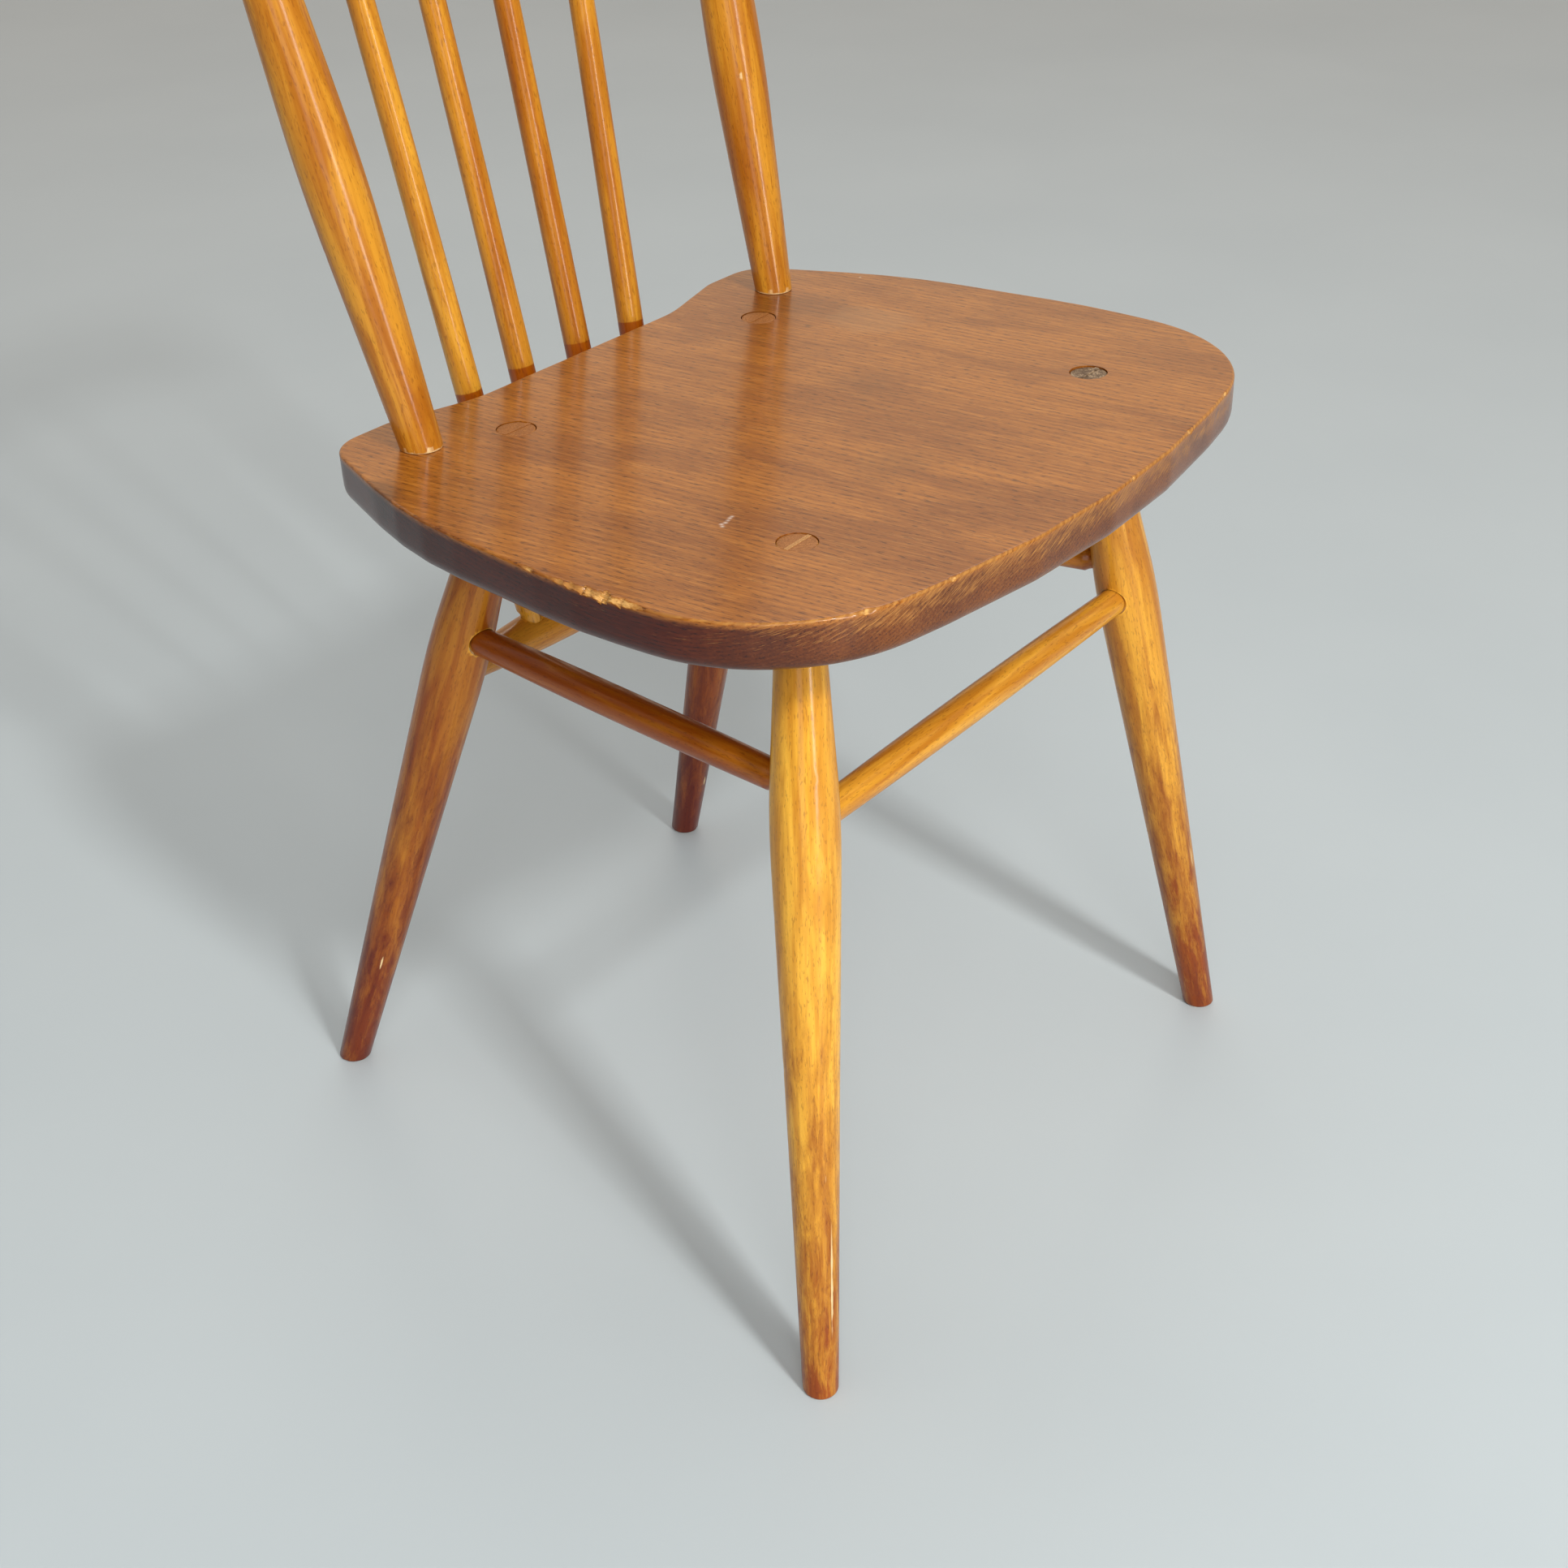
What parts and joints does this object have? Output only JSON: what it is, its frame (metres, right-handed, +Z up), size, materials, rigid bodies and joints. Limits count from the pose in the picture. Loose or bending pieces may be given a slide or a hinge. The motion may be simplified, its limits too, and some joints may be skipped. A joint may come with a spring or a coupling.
{
  "type": "stick-back chair",
  "caption": "Wooden side chair with a broad slab seat, splayed turned legs and rails, and a stick back under a curved crest rail.",
  "frame": {"origin": "on the floor, at the middle of the chair's bounding box", "axes": "+Z up, the chair faces -Y, the sitter's left is +X"},
  "size_m": [0.4362, 0.4459, 0.7888],
  "materials": {
    "seat_wood": "brown stained elm, satin varnish worn through at the edges",
    "turned_wood": "honey coloured varnished beech, turned, grimy towards the feet",
    "wedge_wood": "pale hardwood end grain, varnished over"
  },
  "bodies": {
    "root": {"seat": "seat_wood", "leg_front_left": "turned_wood", "leg_front_right": "turned_wood", "leg_rear_left": "turned_wood", "leg_rear_right": "turned_wood", "wedge_front_left": "wedge_wood", "wedge_front_right": "wedge_wood", "wedge_rear_left": "wedge_wood", "wedge_rear_right": "wedge_wood", "rail_front": "turned_wood", "rail_rear": "turned_wood", "rail_left": "turned_wood", "rail_right": "turned_wood", "post_left": "turned_wood", "post_right": "turned_wood", "stick_outer_left": "turned_wood", "stick_inner_left": "turned_wood", "stick_inner_right": "turned_wood", "stick_outer_right": "turned_wood", "crest_rail": "turned_wood"}
  },
  "joints": []
}
